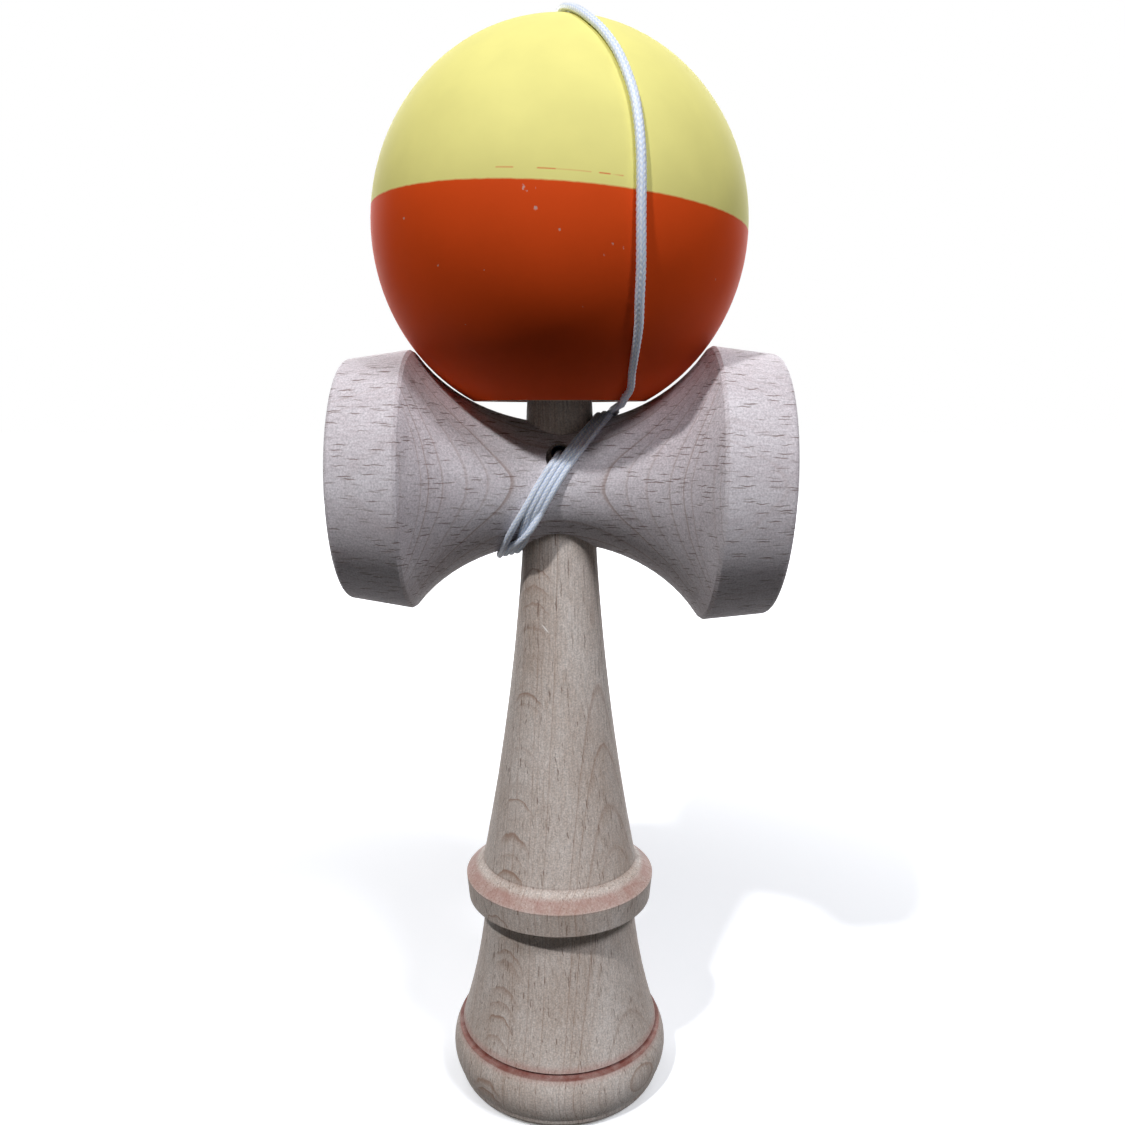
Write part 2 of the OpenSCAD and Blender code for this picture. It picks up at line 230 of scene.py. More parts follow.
def stringRoute():
    # points, the direction away from what the string lies on, and how flat it is drawn there
    points, outs, flats = [], [], []

    def put(point, out, flat):
        points.append(point), outs.append(out), flats.append(flat)

    z = wood["axisZ"]
    for x, y, up in string["lead"]:
        put((x, y, z + up), (0, 0, 1), 0)
    # a curve from the hole into the lane
    bend, steps = string["leadBend"], string["bendSteps"]
    corner, cornerOut = lanePoint(0)
    corner, further = np.array(corner), np.array(lanePoint(string["bendTurn"])[0])
    lane = (further - corner) / np.linalg.norm(further - corner)
    first, last = corner + [0, bend, 0], corner + lane * bend
    for i in range(steps + 1):
        t = i / steps
        put(tuple((1 - t) ** 2 * first + 2 * t * (1 - t) * corner + t * t * last), cornerOut, 0)
    laneLength = 2 * math.pi * (wood["waistR"] + 1)     # of one turn, about
    startTurn, count = bend / laneLength + string["bendGap"], string["laneSteps"]
    for i in range(count + 1):
        point, out = lanePoint(startTurn + (string["turns"] - startTurn) * i / count)
        put(point, out, 0)
    # up from the winding, turning over to face away from the ball
    for i, (x, y, up) in enumerate(string["under"]):
        swing = math.pi * (i + 1) / (len(string["under"]) + 1)
        put((x, y, z + up), (math.sin(swing), 0, math.cos(swing)), 0)
    reach = ball["radius"] + string["onBall"][1] + string["clear"]
    for i, (right, up) in enumerate(string["climb"]):
        out = outward(right, up)
        away = reach + (string["firstOff"] if i == 0 else 0.0)
        point = np.array(out) * away + [0, 0, ball["middleZ"]]
        put(tuple(point), out, ease(i / string["flatAfter"]))
    for stretch, out, flat in (("crown", string["crownOut"], 1), ("hole", string["holeOut"], 0)):
        for x, y, up in string[stretch]:
            put((x, y, ball["middleZ"] + up), out, flat)
    return np.array(points), np.array(outs, float), np.array(flats, float)


def lengthAlong(points):
    return np.concatenate([[0], np.cumsum(np.linalg.norm(np.diff(points, axis=0), axis=1))])


def smoothRoute(points, step, *others):
    # a smooth curve through the points, cut into even steps; others follow the same cuts
    along = lengthAlong(points)
    slope = np.gradient(points, along, axis=0)
    cuts = np.linspace(0, along[-1], int(along[-1] / step) + 1)
    i = np.clip(np.searchsorted(along, cuts, "right") - 1, 0, len(along) - 2)
    span = (along[i + 1] - along[i])[:, None]
    t = (cuts - along[i])[:, None] / span
    curve = (
        (2 * t ** 3 - 3 * t ** 2 + 1) * points[i] + (t ** 3 - 2 * t ** 2 + t) * span * slope[i]
        + (3 * t ** 2 - 2 * t ** 3) * points[i + 1] + (t ** 3 - t ** 2) * span * slope[i + 1]
    )
    return curve, [o[i] + (o[i + 1] - o[i]) * (t if o.ndim > 1 else t[:, 0]) for o in others]


def unit(vectors):
    return vectors / np.linalg.norm(vectors, axis=1)[:, None]


def braidTube(name, route, outs, halfWidth, halfThick):
    # rings of the braid, with each stitch standing out of the tube in slanting columns
    heading = unit(np.gradient(route, axis=0))
    up = unit(outs - (outs * heading).sum(1)[:, None] * heading)
    side = np.cross(heading, up)
    sides, count = string["sides"], len(route)
    around = np.arange(sides) / sides
    column = np.floor(around * string["columns"] + 1e-6)    # a hair more keeps whole ones
    across = around * string["columns"] - column - 0.5
    odd = column % 2                                # these lean the other way, half a stitch on
    slant = np.where(odd == 1, across, -across) * string["slant"] + odd * 0.5
    along = lengthAlong(route)[:, None] / string["stitch"]
    stitch = 0.5 + 0.5 * np.cos(2 * math.pi * (along + slant[None, :]))
    stitch = stitch * np.cos(math.pi * across)[None, :] ** string["crest"]
    grow = 1 + string["relief"] * (stitch - string["reliefMiddle"])
    turn = 2 * math.pi * around
    ring = (
        up[:, None, :] * (np.cos(turn)[None, :] * grow * halfThick[:, None])[:, :, None]
        + side[:, None, :] * (np.sin(turn)[None, :] * grow * halfWidth[:, None])[:, :, None]
    )
    verts = (route[:, None, :] + ring).reshape(-1, 3) * mm
    faces = []
    for i in range(count - 1):
        here, there = i * sides, (i + 1) * sides
        for j in range(sides):
            k = (j + 1) % sides
            faces.append((here + j, here + k, there + k, there + j))
    faces += [tuple(range(sides - 1, -1, -1)), tuple(range((count - 1) * sides, count * sides))]
    mesh = bpy.data.meshes.new(name)
    mesh.from_pydata(verts.tolist(), [], faces)
    heights = mesh.attributes.new("stitch", "FLOAT", "POINT")
    heights.data.foreach_set("value", stitch.ravel().astype(np.float32))
    mesh.polygons.foreach_set("use_smooth", [True] * len(mesh.polygons))
    mesh.update()
    return addObject(name, mesh)


points, outs, flats = stringRoute()
route, (outs, flats) = smoothRoute(points, string["step"], outs, flats)
halfWidth, halfThick = (
    narrow + (wide - narrow) * flats for narrow, wide in zip(string["inWinding"], string["onBall"])
)
stringPiece = braidTube("string_braid", route, outs, halfWidth, halfThick)

# Knots: the string's ends, each tied in an overhand knot and drawn tight
knots = {
    "knot_in_ken": {
        "middle": (0.0, 3.0, 117.03), "size": 0.52, "body": "ken", "node": "ken_knot"},
    "knot_under_bead": {
        "middle": (0.0, 0.0, 165.3), "size": 0.36, "body": "string_anchor", "node": "bead_knot"},
}
tie = {
    "points": 161,
    "depth": 1.3,                   # of the three-looped path, against its size
    "half": 0.5,                    # half the string's width, drawn tight
}
knotPieces = []
for name, knot in knots.items():
    t = np.linspace(0, 2 * math.pi, tie["points"])
    loops = np.stack([
        np.sin(t) + 2 * np.sin(2 * t),
        np.cos(t) - 2 * np.cos(2 * t),
        -tie["depth"] * np.sin(3 * t),
    ], 1)
    if knot["body"] == "ken":
        loops = loops[:, [0, 2, 1]]     # its string runs level, through the ken's cross hole
    path, (away,) = smoothRoute(loops * knot["size"], string["step"], loops / 3)
    half = np.full(len(path), tie["half"])
    piece = braidTube(name, path + np.array(knot["middle"]), away, half, half)
    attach(piece, knot["body"])
    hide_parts(knot["node"])
    knotPieces.append(piece)

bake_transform(stringPiece)
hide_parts("string_winding", "string_over_ball")

# Braided nylon, heat set: bright bluish white with a soft sheen; the gaps between the stitches are
# painted bluish grey, painted shade in the recesses of the braid
nylon = {
    "stitch": "#FDFFFF", "gap": "#AEC6EA",
    "stitchSpan": (0.05, 0.45),     # stitch heights from the painted gap shade to full colour
    "least": 0.36,                  # share of the stitch colour that the painted shade in a gap keeps
    "fuzz": 0.35,                   # mm, coarser than the real filaments so that it shows
    "rough": 0.42, "ior": 1.53, "sheen": 0.4, "sheenRough": 0.4,
}
nylonMat, tree, shader = newMaterial("nylon_braided")
low, high = nylon["stitchSpan"]
stitchHeight = addNode(tree, "ShaderNodeAttribute", attribute_name="stitch").outputs["Fac"]
stitchShade = addNode(tree, "ShaderNodeMapRange", {0: stitchHeight, 1: low, 2: high})
place = addNode(tree, "ShaderNodeTexCoord").outputs["Object"]
fuzz = addNode(tree, "ShaderNodeTexNoise", {
    "Vector": place, "Scale": 1 / (nylon["fuzz"] * mm), "Detail": 2.0})
shade = addNode(tree, "ShaderNodeMath", {
    0: stitchShade, 1: fuzz, 2: nylon["least"]}, operation="MULTIPLY_ADD", use_clamp=True)
# painted shade: the lower a point lies between the stitches, the nearer its colour comes to the
# bluish grey of the gaps
tint = addNode(tree, "ShaderNodeMix", {
    0: shade, 6: linear(nylon["gap"]), 7: linear(nylon["stitch"])}, data_type="RGBA")
tree.links.new(tint.outputs[2], shader.inputs["Base Color"])
shader.inputs["Roughness"].default_value = nylon["rough"]
shader.inputs["IOR"].default_value = nylon["ior"]
shader.inputs["Sheen Weight"].default_value = nylon["sheen"]
shader.inputs["Sheen Roughness"].default_value = nylon["sheenRough"]
for piece in [stringPiece, *knotPieces]:
    piece.data.materials.append(nylonMat)
print("stage: knots and nylon")


# Beech, turned and sanded, unfinished: pale and dull, short brown ray flecks along the grain,
# thin ring lines
beech = {
    # noise stretched along the grain: mm across it twice and along it, detail, roughness
    "noise": {
        "sway": ((16, 16, 45), 2.0, 0.5),       # slow wander of the grain
        "patch": ((9, 9, 30), 2.0, 0.5),        # paler and deeper places
        "fibre": ((0.3, 0.3, 4.0), 3.0, 0.6),   # real fibres are finer, drawn coarser to show
        "strip": ((2.2, 2.2, 12), 2.0, 0.5),    # grain that shows through a rubbed band
    },
    "pore": 0.28,                               # mm, coarser than real ones for the same reason
    "crook": 1.4, "crookBy": 0.5,               # mm along which a fleck bends, and how far
    "years": (0.45, 2.2),                       # how often and how much the ring width changes
    "ringLine": [                               # darkness through one year
        (0.0, 0.5), (0.03, 0.0), (0.6, 0.0), (0.86, 0.16), (0.93, 0.9), (0.98, 1.0), (1.0, 0.6),
    ],
    "faintest": 0.25,                           # the faintest ring against the boldest
    "quietShare": 0.3,                          # what is left of the rings where they fade
    "toneSpan": (0.7, 1.35),                    # patch and fibre added up, from pale to deep
    "streakSpan": (0.35, 0.65), "streak": (0.72, 1.12),
    "bump": 0.5, "bumpDepth": 0.05,             # mm
    "roughSwing": (-0.06, 0.1),
    "ior": 1.5, "specular": 0.3,
}
flakes = {
    "arch": 0.2,                                # how steeply an arch falls off, per mm
    "spacing": (0.6, 2.0),                      # how often and how much it changes
    "line": [(0.0, 0.0), (0.55, 0.1), (0.82, 0.8), (0.9, 1.0), (1.0, 0.0)],
    "luckSpan": (0.25, 0.9), "shown": (0.15, 0.8),
    "fade": (3.0, 14.0),                        # square mm from the arch's middle
    "sideEdge": 1.0,                            # mm, only on the left face
}
kenBeech = {
    "name": "beech_turned_upright",
    "grainTurn": (0.035, 0.02, math.radians(-48)),  # grain up the ken, pith to the front right
    "pith": (0.0, -62.0, 0.0),
    "ring": 1.7,                                # mm from ring to ring
    "wander": 1.3,                              # mm that a ring strays
    "quiet": (60.0, 70.0),                      # mm from the axis where the rings fade
    # darker and warmer than the crosspiece's beech: partly the wood's own tone, partly painted shade
    # for the shade the ken stands in under the crosspiece and ball
    "pale": "#E1D7CE", "deep": "#B9A697", "ringTone": "#8E6A53", "fleckTone": "#6A4E3D",
    "ringShare": 0.6, "fleckShare": 0.65, "fleckFew": (0.5, 0.95),
    "fleckCell": (0.34, 0.5, 9.0),              # mm across, towards the pith and along the grain
    "fleckSize": (0.36, 0.2),                   # share of the cell, from its edge to full dark
    "flake": 3.1,                               # mm between flakes, where the cut follows the rays
    "grit": (0.72, 1.14),
    "rough": 0.62,
    "scratch": {
        "middle": (-2.36, -6.8, 88.2), "half": (1.15, 1.15, 0.17),
        "down": 49.0,                           # degrees, to the right
        "soft": 0.5, "share": 0.75, "tone": "#FBF6F0",
    },
    # bands by height in mm: from, to, softness, tone, share
    "bands": [
        (40.95, 42.75, 0.45, "#A06E62", 0.6),   # pink band on the collar bevel
        (43.7, 44.1, 0.3, "#7A5848", 0.35),     # painted shade: darker line in the inner corner behind it
        (9.9, 12.0, 0.7, "#B8857A", 0.5),       # halo of the groove
        (10.3, 11.0, 0.2, "#6E2E22", 0.85),     # friction-burnt groove
    ],
}
saradoBeech = {
    "name": "beech_turned_level",
    "grainTurn": (0.0, math.radians(-90), 0.05),    # grain along the crosspiece, pith behind it
    "pith": (-112.0, 70.0, 0.0),
    "ring": 1.7,
    "wander": 1.5,
    "quiet": (22.5, 25.5),
    "pale": "#E6E0E2", "deep": "#CABFC1", "ringTone": "#8F7060", "fleckTone": "#664C3F",
    "ringShare": 0.66, "fleckShare": 0.72, "fleckFew": (0.0, 0.6),
    "fleckCell": (0.33, 3.2, 4.6),
    "fleckSize": (0.33, 0.2),
    "flake": None,
    "grit": (0.74, 1.12),
    "rough": 0.6,
    "scratch": None,
    "bands": [],
}
beadBeech = dict(kenBeech, name="beech_turned_bead", scratch=None, bands=[])


def unevenSteps(tree, steps, rate, swing):
    # how far through its own step each point is, and the luck of that step
    uneven = addNode(tree, "ShaderNodeTexNoise", {
        "W": steps, "Scale": rate, "Detail": 1.0}, noise_dimensions="1D")
    count = addNode(tree, "ShaderNodeMath", {
        0: uneven, 1: swing, 2: steps}, operation="MULTIPLY_ADD")
    through = addNode(tree, "ShaderNodeMath", {0: count}, operation="FRACT")
    whole = addNode(tree, "ShaderNodeMath", {0: count}, operation="FLOOR")
    return through, addNode(tree, "ShaderNodeTexWhiteNoise", {"W": whole}, noise_dimensions="1D")


def beechMaterial(facts):
    material, tree, shader = newMaterial(facts["name"])
    place = addNode(tree, "ShaderNodeTexCoord").outputs["Object"]
    spot = addNode(tree, "ShaderNodeSeparateXYZ", {0: place})
    grain = addNode(tree, "ShaderNodeMapping", {
        "Vector": place, "Rotation": facts["grainTurn"], "Scale": perMm})
    noise = {}
    for name, (size, detail, rough) in beech["noise"].items():
        shrunk = addNode(tree, "ShaderNodeVectorMath", {
            0: grain, 1: tuple(1 / c for c in size)}, operation="MULTIPLY")
        noise[name] = addNode(tree, "ShaderNodeTexNoise", {
            "Vector": shrunk, "Scale": 1.0, "Detail": detail, "Roughness": rough})
    # year rings about the pith
    swayed = addNode(tree, "ShaderNodeVectorMath", {
        0: noise["sway"].outputs[1], 1: (facts["wander"], facts["wander"], 0.0), 2: grain},
        operation="MULTIPLY_ADD")
    flat = addNode(tree, "ShaderNodeVectorMath", {0: swayed, 1: (1, 1, 0)}, operation="MULTIPLY")
    toPith = addNode(tree, "ShaderNodeVectorMath", {0: flat, 1: facts["pith"]}, operation="DISTANCE")
    rings = addNode(tree, "ShaderNodeMath", {
        0: toPith.outputs[1], 1: facts["ring"]}, operation="DIVIDE")
    year, luck = unevenSteps(tree, rings, *beech["years"])
    ringFac = addNode(tree, "ShaderNodeValToRGB", {0: year}, stops=beech["ringLine"])
    depth = addNode(tree, "ShaderNodeMapRange", {
        0: luck, 3: beech["faintest"] * facts["ringShare"], 4: facts["ringShare"]})
    aside = addNode(tree, "ShaderNodeMath", {0: spot}, operation="ABSOLUTE")
    low, high = facts["quiet"]
    strong = addNode(tree, "ShaderNodeMapRange", {
        0: aside, 1: low * mm, 2: high * mm, 3: 1.0, 4: beech["quietShare"]})
    for factor in (depth, strong):
        ringFac = addNode(tree, "ShaderNodeMath", {0: ringFac, 1: factor}, operation="MULTIPLY")
    # ray flecks, real ones are 0.1 to 0.2 mm wide and drawn a little wider to show
    crook = addNode(tree, "ShaderNodeTexNoise", {
        "Vector": grain, "Scale": 1 / beech["crook"], "Detail": 1.0}).outputs[1]
    crooked = addNode(tree, "ShaderNodeVectorMath", {
        0: crook, 1: (beech["crookBy"], beech["crookBy"], 0.0), 2: grain},
        operation="MULTIPLY_ADD")
    cell = addNode(tree, "ShaderNodeVectorMath", {
        0: crooked, 1: tuple(1 / c for c in facts["fleckCell"])}, operation="MULTIPLY")
    ray = addNode(tree, "ShaderNodeTexVoronoi", {"Vector": cell, "Scale": 1.0, "Randomness": 1.0})
    kind = addNode(tree, "ShaderNodeSeparateColor", {0: ray.outputs[1]})
    low, high = facts["fleckSize"]
    body = addNode(tree, "ShaderNodeMapRange", {0: ray, 1: low, 2: high, 3: 0.0, 4: 1.0})
    low, high = facts["fleckFew"]
    some = addNode(tree, "ShaderNodeMapRange", {
        0: kind, 1: low, 2: high, 3: 0.0, 4: facts["fleckShare"]})
    fleckFac = addNode(tree, "ShaderNodeMath", {0: body, 1: some}, operation="MULTIPLY")
    if facts["flake"]:
        # soft brown arches, one above another
        upright = addNode(tree, "ShaderNodeMapping", {
            "Vector": place, "Rotation": (0.0, 0.0, facts["grainTurn"][2]), "Scale": perMm})
        wavy = addNode(tree, "ShaderNodeVectorMath", {
            0: crook, 1: (0.0, 1.0, 1.0), 2: upright}, operation="MULTIPLY_ADD")
        turned = addNode(tree, "ShaderNodeSeparateXYZ", {0: wavy})
        off = addNode(tree, "ShaderNodeMath", {
            0: turned.outputs[1], 1: turned.outputs[1]}, operation="MULTIPLY")
        arch = addNode(tree, "ShaderNodeMath", {
            0: off, 1: flakes["arch"], 2: turned.outputs[2]}, operation="MULTIPLY_ADD")
        steps = addNode(tree, "ShaderNodeMath", {0: arch, 1: facts["flake"]}, operation="DIVIDE")
        step, luck = unevenSteps(tree, steps, *flakes["spacing"])
        edge = addNode(tree, "ShaderNodeValToRGB", {0: step}, stops=flakes["line"])
        (low, high), (least, most) = flakes["luckSpan"], flakes["shown"]
        shown = addNode(tree, "ShaderNodeMapRange", {0: luck, 1: low, 2: high, 3: least, 4: most})
        low, high = flakes["fade"]
        near = addNode(tree, "ShaderNodeMapRange", {0: off, 1: low, 2: high, 3: 1.0, 4: 0.0})
        left = addNode(tree, "ShaderNodeMapRange", {
            0: turned, 1: flakes["sideEdge"], 2: -flakes["sideEdge"], 3: 0.0, 4: 1.0})
        for factor in (shown, near, left):
            edge = addNode(tree, "ShaderNodeMath", {0: edge, 1: factor}, operation="MULTIPLY")
        ringFac = addNode(tree, "ShaderNodeMath", {0: ringFac, 1: edge}, operation="MAXIMUM")
    # patches, fibres and fine pores
    mixFac = addNode(tree, "ShaderNodeMath", {0: noise["patch"], 1: noise["fibre"]}, operation="ADD")
    low, high = beech["toneSpan"]
    mixFac = addNode(tree, "ShaderNodeMapRange", {0: mixFac, 1: low, 2: high})
    tone = addNode(tree, "ShaderNodeMix", {
        0: mixFac, 6: linear(facts["pale"]), 7: linear(facts["deep"])}, data_type="RGBA")
    pore = addNode(tree, "ShaderNodeTexNoise", {
        "Vector": grain, "Scale": 1 / beech["pore"], "Detail": 2.0})
    (low, high), (dark, light) = noiseSpan, facts["grit"]
    grit = addNode(tree, "ShaderNodeMapRange", {0: pore, 1: low, 2: high, 3: dark, 4: light})
    tone = addNode(tree, "ShaderNodeVectorMath", {
        0: tone.outputs[2], 1: grit}, operation="MULTIPLY").outputs[0]
    # what lies over that, from the first to the last
    layers = [(ringFac, facts["ringTone"]), (fleckFac, facts["fleckTone"])]
    scratch = facts["scratch"]
    if scratch:
        fromMiddle = addNode(tree, "ShaderNodeVectorMath", {
            0: place, 1: tuple(c * mm for c in scratch["middle"])}, operation="SUBTRACT")
        alongIt = addNode(tree, "ShaderNodeMapping", {
            "Vector": fromMiddle, "Rotation": (0.0, math.radians(-scratch["down"]), 0.0),
            "Scale": perMm})
        shares = addNode(tree, "ShaderNodeVectorMath", {
            0: alongIt, 1: tuple(1 / c for c in scratch["half"])}, operation="MULTIPLY")
        outOfIt = addNode(tree, "ShaderNodeVectorMath", {0: shares}, operation="LENGTH").outputs[1]
        scratchFac = addNode(tree, "ShaderNodeMapRange", {
            0: outOfIt, 1: 1.0, 2: scratch["soft"], 3: 0.0, 4: scratch["share"]})
        layers.append((scratchFac, scratch["tone"]))
    # bands round the piece, through which the grain shows
    (low, high), (thin, full) = beech["streakSpan"], beech["streak"]
    streak = addNode(tree, "ShaderNodeMapRange", {
        0: noise["strip"], 1: low, 2: high, 3: thin, 4: full})
    for low, high, soft, colour, share in facts["bands"]:
        band, fall = (
            addNode(tree, "ShaderNodeMapRange", {
                0: spot.outputs[2], 1: (level - soft) * mm, 2: (level + soft) * mm,
                3: before, 4: after}, interpolation_type="SMOOTHSTEP")
            for level, before, after in ((low, 0.0, share), (high, 1.0, 0.0))
        )
        for factor in (fall, streak):
            band = addNode(tree, "ShaderNodeMath", {
                0: band, 1: factor}, operation="MULTIPLY", use_clamp=True)
        layers.append((band, colour))
    for share, colour in layers:
        tone = addNode(tree, "ShaderNodeMix", {
            0: share, 6: tone, 7: linear(colour)}, data_type="RGBA").outputs[2]
    tree.links.new(tone, shader.inputs["Base Color"])
    # flecks and lines lie a little below the sanded face
    sunk = addNode(tree, "ShaderNodeMath", {0: ringFac, 1: fleckFac}, operation="ADD")
    height = addNode(tree, "ShaderNodeMath", {
        0: sunk, 1: -1.0, 2: noise["fibre"]}, operation="MULTIPLY_ADD")
    bump = addNode(tree, "ShaderNodeBump", {
        "Height": height, "Strength": beech["bump"], "Distance": beech["bumpDepth"] * mm})
    tree.links.new(bump.outputs[0], shader.inputs["Normal"])
    less, more = beech["roughSwing"]
    dull = addNode(tree, "ShaderNodeMapRange", {
        0: noise["fibre"], 3: facts["rough"] + less, 4: facts["rough"] + more})
    tree.links.new(dull.outputs[0], shader.inputs["Roughness"])
    shader.inputs["IOR"].default_value = beech["ior"]
    shader.inputs["Specular IOR Level"].default_value = beech["specular"]
    return material


def dress(nodeName, material):
    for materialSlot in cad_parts[nodeName].material_slots:
        materialSlot.material = material


dress("ken", beechMaterial(kenBeech))
dress("sarado", beechMaterial(saradoBeech))
dress("string_bead", beechMaterial(beadBeech))
print("stage: beech")

# Enamel, sprayed matt in two colours over beech: a taped line round the middle, knocks down to
# the pale ground coat; lengths in mm
enamel = {
    "yellow": "#F2E98E", "orange": "#E5501A", "ground": "#CFC3B8", "bare": "#CDB9A4",
    "lineUp": 1.1, "lineLean": -0.065,          # above the ball's middle, and its fall to the right
    "lineRag": 1.2, "lineRagBy": 0.16,          # length and height of the line's unevenness
    "lineSoft": (0.05, 0.3),
    "mottle": 8, "mottleBy": (0.96, 1.03),      # cloudiness of the spray
    # orange that crept under the tape, above the line: from none to full and back to none
    "creepUp": (1.35, 1.45), "creepDown": (1.5, 1.6),
    "creepReach": 10.0,                         # to the left and right
    "creepEdge": 1.0,                           # only on the front
    "creepDashes": [
        (0.08, 0.0), (0.09, 0.5), (0.195, 0.6), (0.205, 0.0), (0.35, 0.0), (0.36, 0.7),
        (0.47, 0.7), (0.48, 0.2), (0.7, 0.3), (0.71, 0.0), (0.75, 0.0), (0.76, 0.8),
        (0.825, 0.8), (0.835, 0.0), (0.91, 0.5), (0.92, 0.0),
    ],
    # knocks: degrees right of the front, degrees above the middle, size
    "knocks": [
        (-6, -4, 0.5), (-9, 1, 0.42), (-8, 0, 0.35), (-6, 0.5, 0.3), (0, -9, 0.4),
        (14, -12, 0.35), (17, -13, 0.3), (12, -15, 0.3), (-47, -3, 0.4), (-36, -16, 0.35),
        (7, -28, 0.35), (-32, -32, 0.3), (53, -18, 0.4), (-21, -18, 0.3), (120, -8, 0.6),
        (-140, -20, 0.5), (165, -35, 0.5), (80, -30, 0.4),
    ],
    "knockRag": 0.35, "knockRagBy": 0.9,        # of their edges
    "knockSoft": (0.25, 0.1), "knockShare": 0.65,
    "knockDepth": 3.0,                          # against the spray's grain
    "boreEdge": (14.15, 13.9),                  # from the ball's axis
    "crownEdge": (24.0, 23.6),                  # above the ball's middle, bare wood below
    "spray": 0.5,                               # grain of the sprayed coat
    "bump": 0.15, "bumpDepth": 0.05,
    "rough": 0.58, "roughSwing": 0.06,
    "ior": 1.5, "specular": 0.06,
}
enamelMat, tree, shader = newMaterial("enamel_sprayed_matt")
place = addNode(tree, "ShaderNodeTexCoord").outputs["Object"]
inMm = addNode(tree, "ShaderNodeVectorMath", {0: place, "Scale": 1 / mm}, operation="SCALE")
centred = addNode(tree, "ShaderNodeVectorMath", {
    0: inMm, 1: (0, 0, ball["middleZ"])}, operation="SUBTRACT")
spot = addNode(tree, "ShaderNodeSeparateXYZ", {0: centred})
ragged, mottle, frayed, spray = (
    addNode(tree, "ShaderNodeTexNoise", {
        "Vector": inMm, "Scale": 1 / enamel[size], "Detail": detail})
    for size, detail in (("lineRag", 3.0), ("mottle", 3.0), ("knockRag", 2.0), ("spray", 2.0))
)
lean = addNode(tree, "ShaderNodeMath", {
    0: spot, 1: -enamel["lineLean"], 2: spot.outputs[2]}, operation="MULTIPLY_ADD")
edge = addNode(tree, "ShaderNodeMath", {
    0: ragged, 1: enamel["lineRagBy"], 2: lean}, operation="MULTIPLY_ADD")
low, high = (enamel["lineUp"] + soft for soft in enamel["lineSoft"])
above = addNode(tree, "ShaderNodeMapRange", {0: edge, 1: low, 2: high})
tone = addNode(tree, "ShaderNodeMix", {
    0: above, 6: linear(enamel["orange"]), 7: linear(enamel["yellow"])}, data_type="RGBA")
# orange that crept under the tape: a thin broken line above the join
low, high = (enamel["lineUp"] + up for up in enamel["creepUp"])
creepFac = addNode(tree, "ShaderNodeMapRange", {0: lean, 1: low, 2: high})
low, high = (enamel["lineUp"] + up for up in enamel["creepDown"])
creepEnd = addNode(tree, "ShaderNodeMapRange", {0: lean, 1: low, 2: high, 3: 1.0, 4: 0.0})
across = addNode(tree, "ShaderNodeMapRange", {
    0: spot, 1: -enamel["creepReach"], 2: enamel["creepReach"]})
dashes = addNode(tree, "ShaderNodeValToRGB", {0: across}, stops=enamel["creepDashes"])
inFront = addNode(tree, "ShaderNodeMapRange", {
    0: spot.outputs[1], 1: enamel["creepEdge"], 2: -enamel["creepEdge"], 3: 0.0, 4: 1.0})
for factor in (creepEnd, dashes, inFront):
    creepFac = addNode(tree, "ShaderNodeMath", {0: creepFac, 1: factor}, operation="MULTIPLY")
tone = addNode(tree, "ShaderNodeMix", {
    0: creepFac, 6: tone.outputs[2], 7: linear(enamel["orange"])}, data_type="RGBA")
(low, high), (dark, light) = noiseSpan, enamel["mottleBy"]
fade = addNode(tree, "ShaderNodeMapRange", {0: mottle, 1: low, 2: high, 3: dark, 4: light})
tone = addNode(tree, "ShaderNodeVectorMath", {
    0: tone.outputs[2], 1: fade}, operation="MULTIPLY").outputs[0]
# knocks, each with a ragged edge
knocked = 0.0
for right, up, size in enamel["knocks"]:
    at = tuple(ball["radius"] * c for c in outward(right, up))
    far = addNode(tree, "ShaderNodeVectorMath", {0: centred, 1: at}, operation="DISTANCE").outputs[1]
    rough = addNode(tree, "ShaderNodeMath", {
        0: frayed, 1: enamel["knockRagBy"], 2: far}, operation="MULTIPLY_ADD")
    rim, full = (size + soft for soft in enamel["knockSoft"])
    mark = addNode(tree, "ShaderNodeMapRange", {
        0: rough, 1: rim, 2: full, 3: 0.0, 4: enamel["knockShare"]})
    knocked = addNode(tree, "ShaderNodeMath", {0: knocked, 1: mark}, operation="MAXIMUM")
# the bore and the string hole are bare wood inside
flatSpot = addNode(tree, "ShaderNodeVectorMath", {0: centred, 1: (1, 1, 0)}, operation="MULTIPLY")
fromAxis = addNode(tree, "ShaderNodeVectorMath", {0: flatSpot}, operation="LENGTH").outputs[1]
inBore, belowCrown = (
    addNode(tree, "ShaderNodeMapRange", {0: reach, 1: out, 2: inside, 3: 0.0, 4: 1.0})
    for reach, (out, inside) in (
        (fromAxis, enamel["boreEdge"]), (spot.outputs[2], enamel["crownEdge"]))
)
bareFac = addNode(tree, "ShaderNodeMath", {0: inBore, 1: belowCrown}, operation="MULTIPLY")
for share, colour in ((knocked, enamel["ground"]), (bareFac, enamel["bare"])):
    tone = addNode(tree, "ShaderNodeMix", {
        0: share, 6: tone, 7: linear(colour)}, data_type="RGBA").outputs[2]
tree.links.new(tone, shader.inputs["Base Color"])
level = addNode(tree, "ShaderNodeMath", {
    0: knocked, 1: -enamel["knockDepth"], 2: spray}, operation="MULTIPLY_ADD")
bump = addNode(tree, "ShaderNodeBump", {
    "Height": level, "Strength": enamel["bump"], "Distance": enamel["bumpDepth"] * mm})
tree.links.new(bump.outputs[0], shader.inputs["Normal"])
dull = addNode(tree, "ShaderNodeMapRange", {
    0: mottle, 3: enamel["rough"] - enamel["roughSwing"], 4: enamel["rough"] + enamel["roughSwing"]})
tree.links.new(dull.outputs[0], shader.inputs["Roughness"])
shader.inputs["IOR"].default_value = enamel["ior"]
shader.inputs["Specular IOR Level"].default_value = enamel["specular"]
dress("tama", enamelMat)
print("stage: enamel")


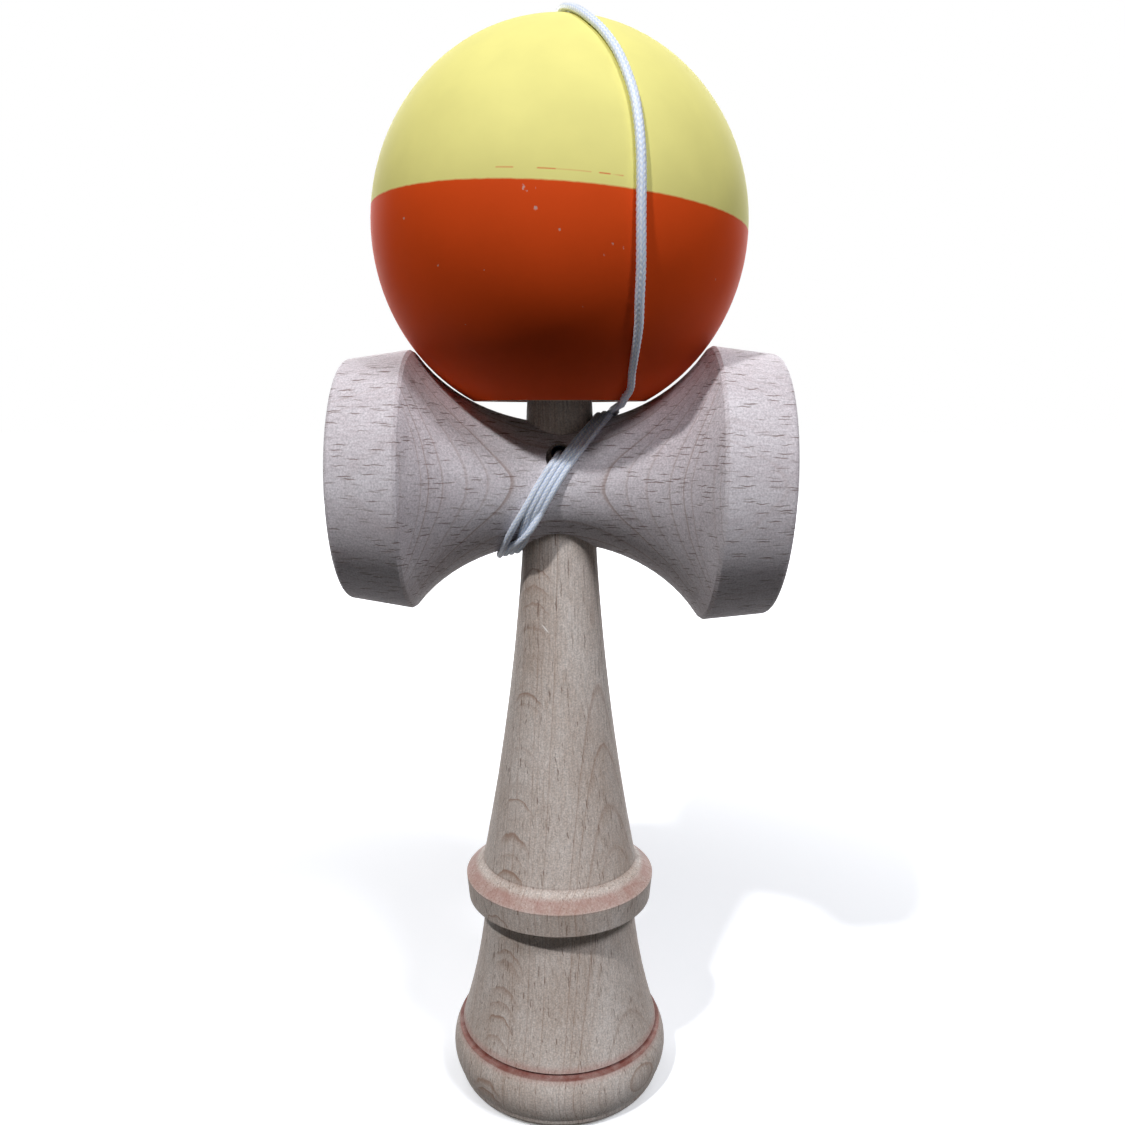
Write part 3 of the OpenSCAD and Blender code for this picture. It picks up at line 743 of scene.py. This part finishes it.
# Studio: a pale floor, a small lamp from the left, wider ones from the right and above, and two
# behind for the sides that the photo doesn't show
studio = {
    "lamps": {
        # degrees right of the front, degrees up, distance m, width m, brightness on a surface
        # that faces it, colour
        "key": (-33, 50, 0.9, 0.045, 0.59, "#FAFBFF"),
        "fill": (37, 48, 0.9, 0.2, 0.51, "#F4F7FF"),
        "front": (0, 58, 0.9, 0.45, 0.08, "#F2F6FF"),
        "backLeft": (-155, 18, 1.2, 0.8, 0.4, "#F6F9FF"),
        "backRight": (155, 18, 1.2, 0.8, 0.4, "#F6F9FF"),
    },
    "aim": (0.0, 0.0, 0.115),
    "world": 0.02,
    "floorReach": 6.0,              # m
    "floorTone": 0.9, "floorBounce": 0.05, "floorGlow": 0.3, "floorRough": 0.9,
    "floorFade": (0.07, 0.3),       # m from the kendama, where its shading gives way to plain white
}
for name, (turn, up, far, width, bright, colour) in studio["lamps"].items():
    lamp = bpy.data.lights.new(name, "AREA")
    lamp.shape = "DISK"
    lamp.size = width
    lamp.energy = bright * math.pi ** 2 * far ** 2
    lamp.color = linear(colour)[:3]
    holder = addObject(name, lamp)
    holder.location = [aim + far * c for aim, c in zip(studio["aim"], outward(turn, up))]
    holder.rotation_euler = (math.pi / 2 - math.radians(up), 0.0, math.radians(turn))


def seenRays(tree):
    # 1 for what the camera sees, also in a mirror or through glass, 0 for the light on the kendama
    ray = addNode(tree, "ShaderNodeLightPath").outputs
    seen = ray["Is Camera Ray"]
    for other in ("Is Glossy Ray", "Is Transmission Ray"):
        seen = addNode(tree, "ShaderNodeMath", {0: seen, 1: ray[other]}, operation="MAXIMUM")
    return seen


# the world is white where it is seen, and a weak fill to everything else
world = bpy.data.worlds.new("studio")
bpy.context.scene.world = world
world.use_nodes = True
tree = world.node_tree
background = tree.nodes["Background"].inputs
power = addNode(tree, "ShaderNodeMapRange", {0: seenRays(tree), 3: studio["world"], 4: 1.0})
background["Color"].default_value = (1, 1, 1, 1)
tree.links.new(power.outputs[0], background["Strength"])

# Paper, matt and white: it takes the shadow and glows to plain white further out
reach = studio["floorReach"]
corners = [(-reach, -reach, 0), (reach, -reach, 0), (reach, reach, 0), (-reach, reach, 0)]
floorMesh = bpy.data.meshes.new("studio_floor")
floorMesh.from_pydata(corners, [], [(0, 1, 2, 3)])
floor = addObject("studio_floor", floorMesh)
floorMat, tree, shader = newMaterial("paper_matt_white")
seen = seenRays(tree)
place = addNode(tree, "ShaderNodeTexCoord").outputs["Object"]
away = addNode(tree, "ShaderNodeVectorMath", {0: place}, operation="LENGTH").outputs[1]
low, high = studio["floorFade"]
fade = addNode(tree, "ShaderNodeMapRange", {
    0: away, 1: low, 2: high, 3: studio["floorGlow"], 4: 1.0}, interpolation_type="SMOOTHSTEP")
grey = addNode(tree, "ShaderNodeMapRange", {
    0: seen, 3: studio["floorBounce"], 4: studio["floorTone"]})
glow = addNode(tree, "ShaderNodeMath", {0: seen, 1: fade}, operation="MULTIPLY")
tree.links.new(grey.outputs[0], shader.inputs["Base Color"])
shader.inputs["Roughness"].default_value = studio["floorRough"]
shader.inputs["Specular IOR Level"].default_value = 0.0
shader.inputs["Emission Color"].default_value = (1, 1, 1, 1)
tree.links.new(glow.outputs[0], shader.inputs["Emission Strength"])
floorMesh.materials.append(floorMat)
bpy.context.scene.view_settings.view_transform = "Standard"
print("stage: studio")
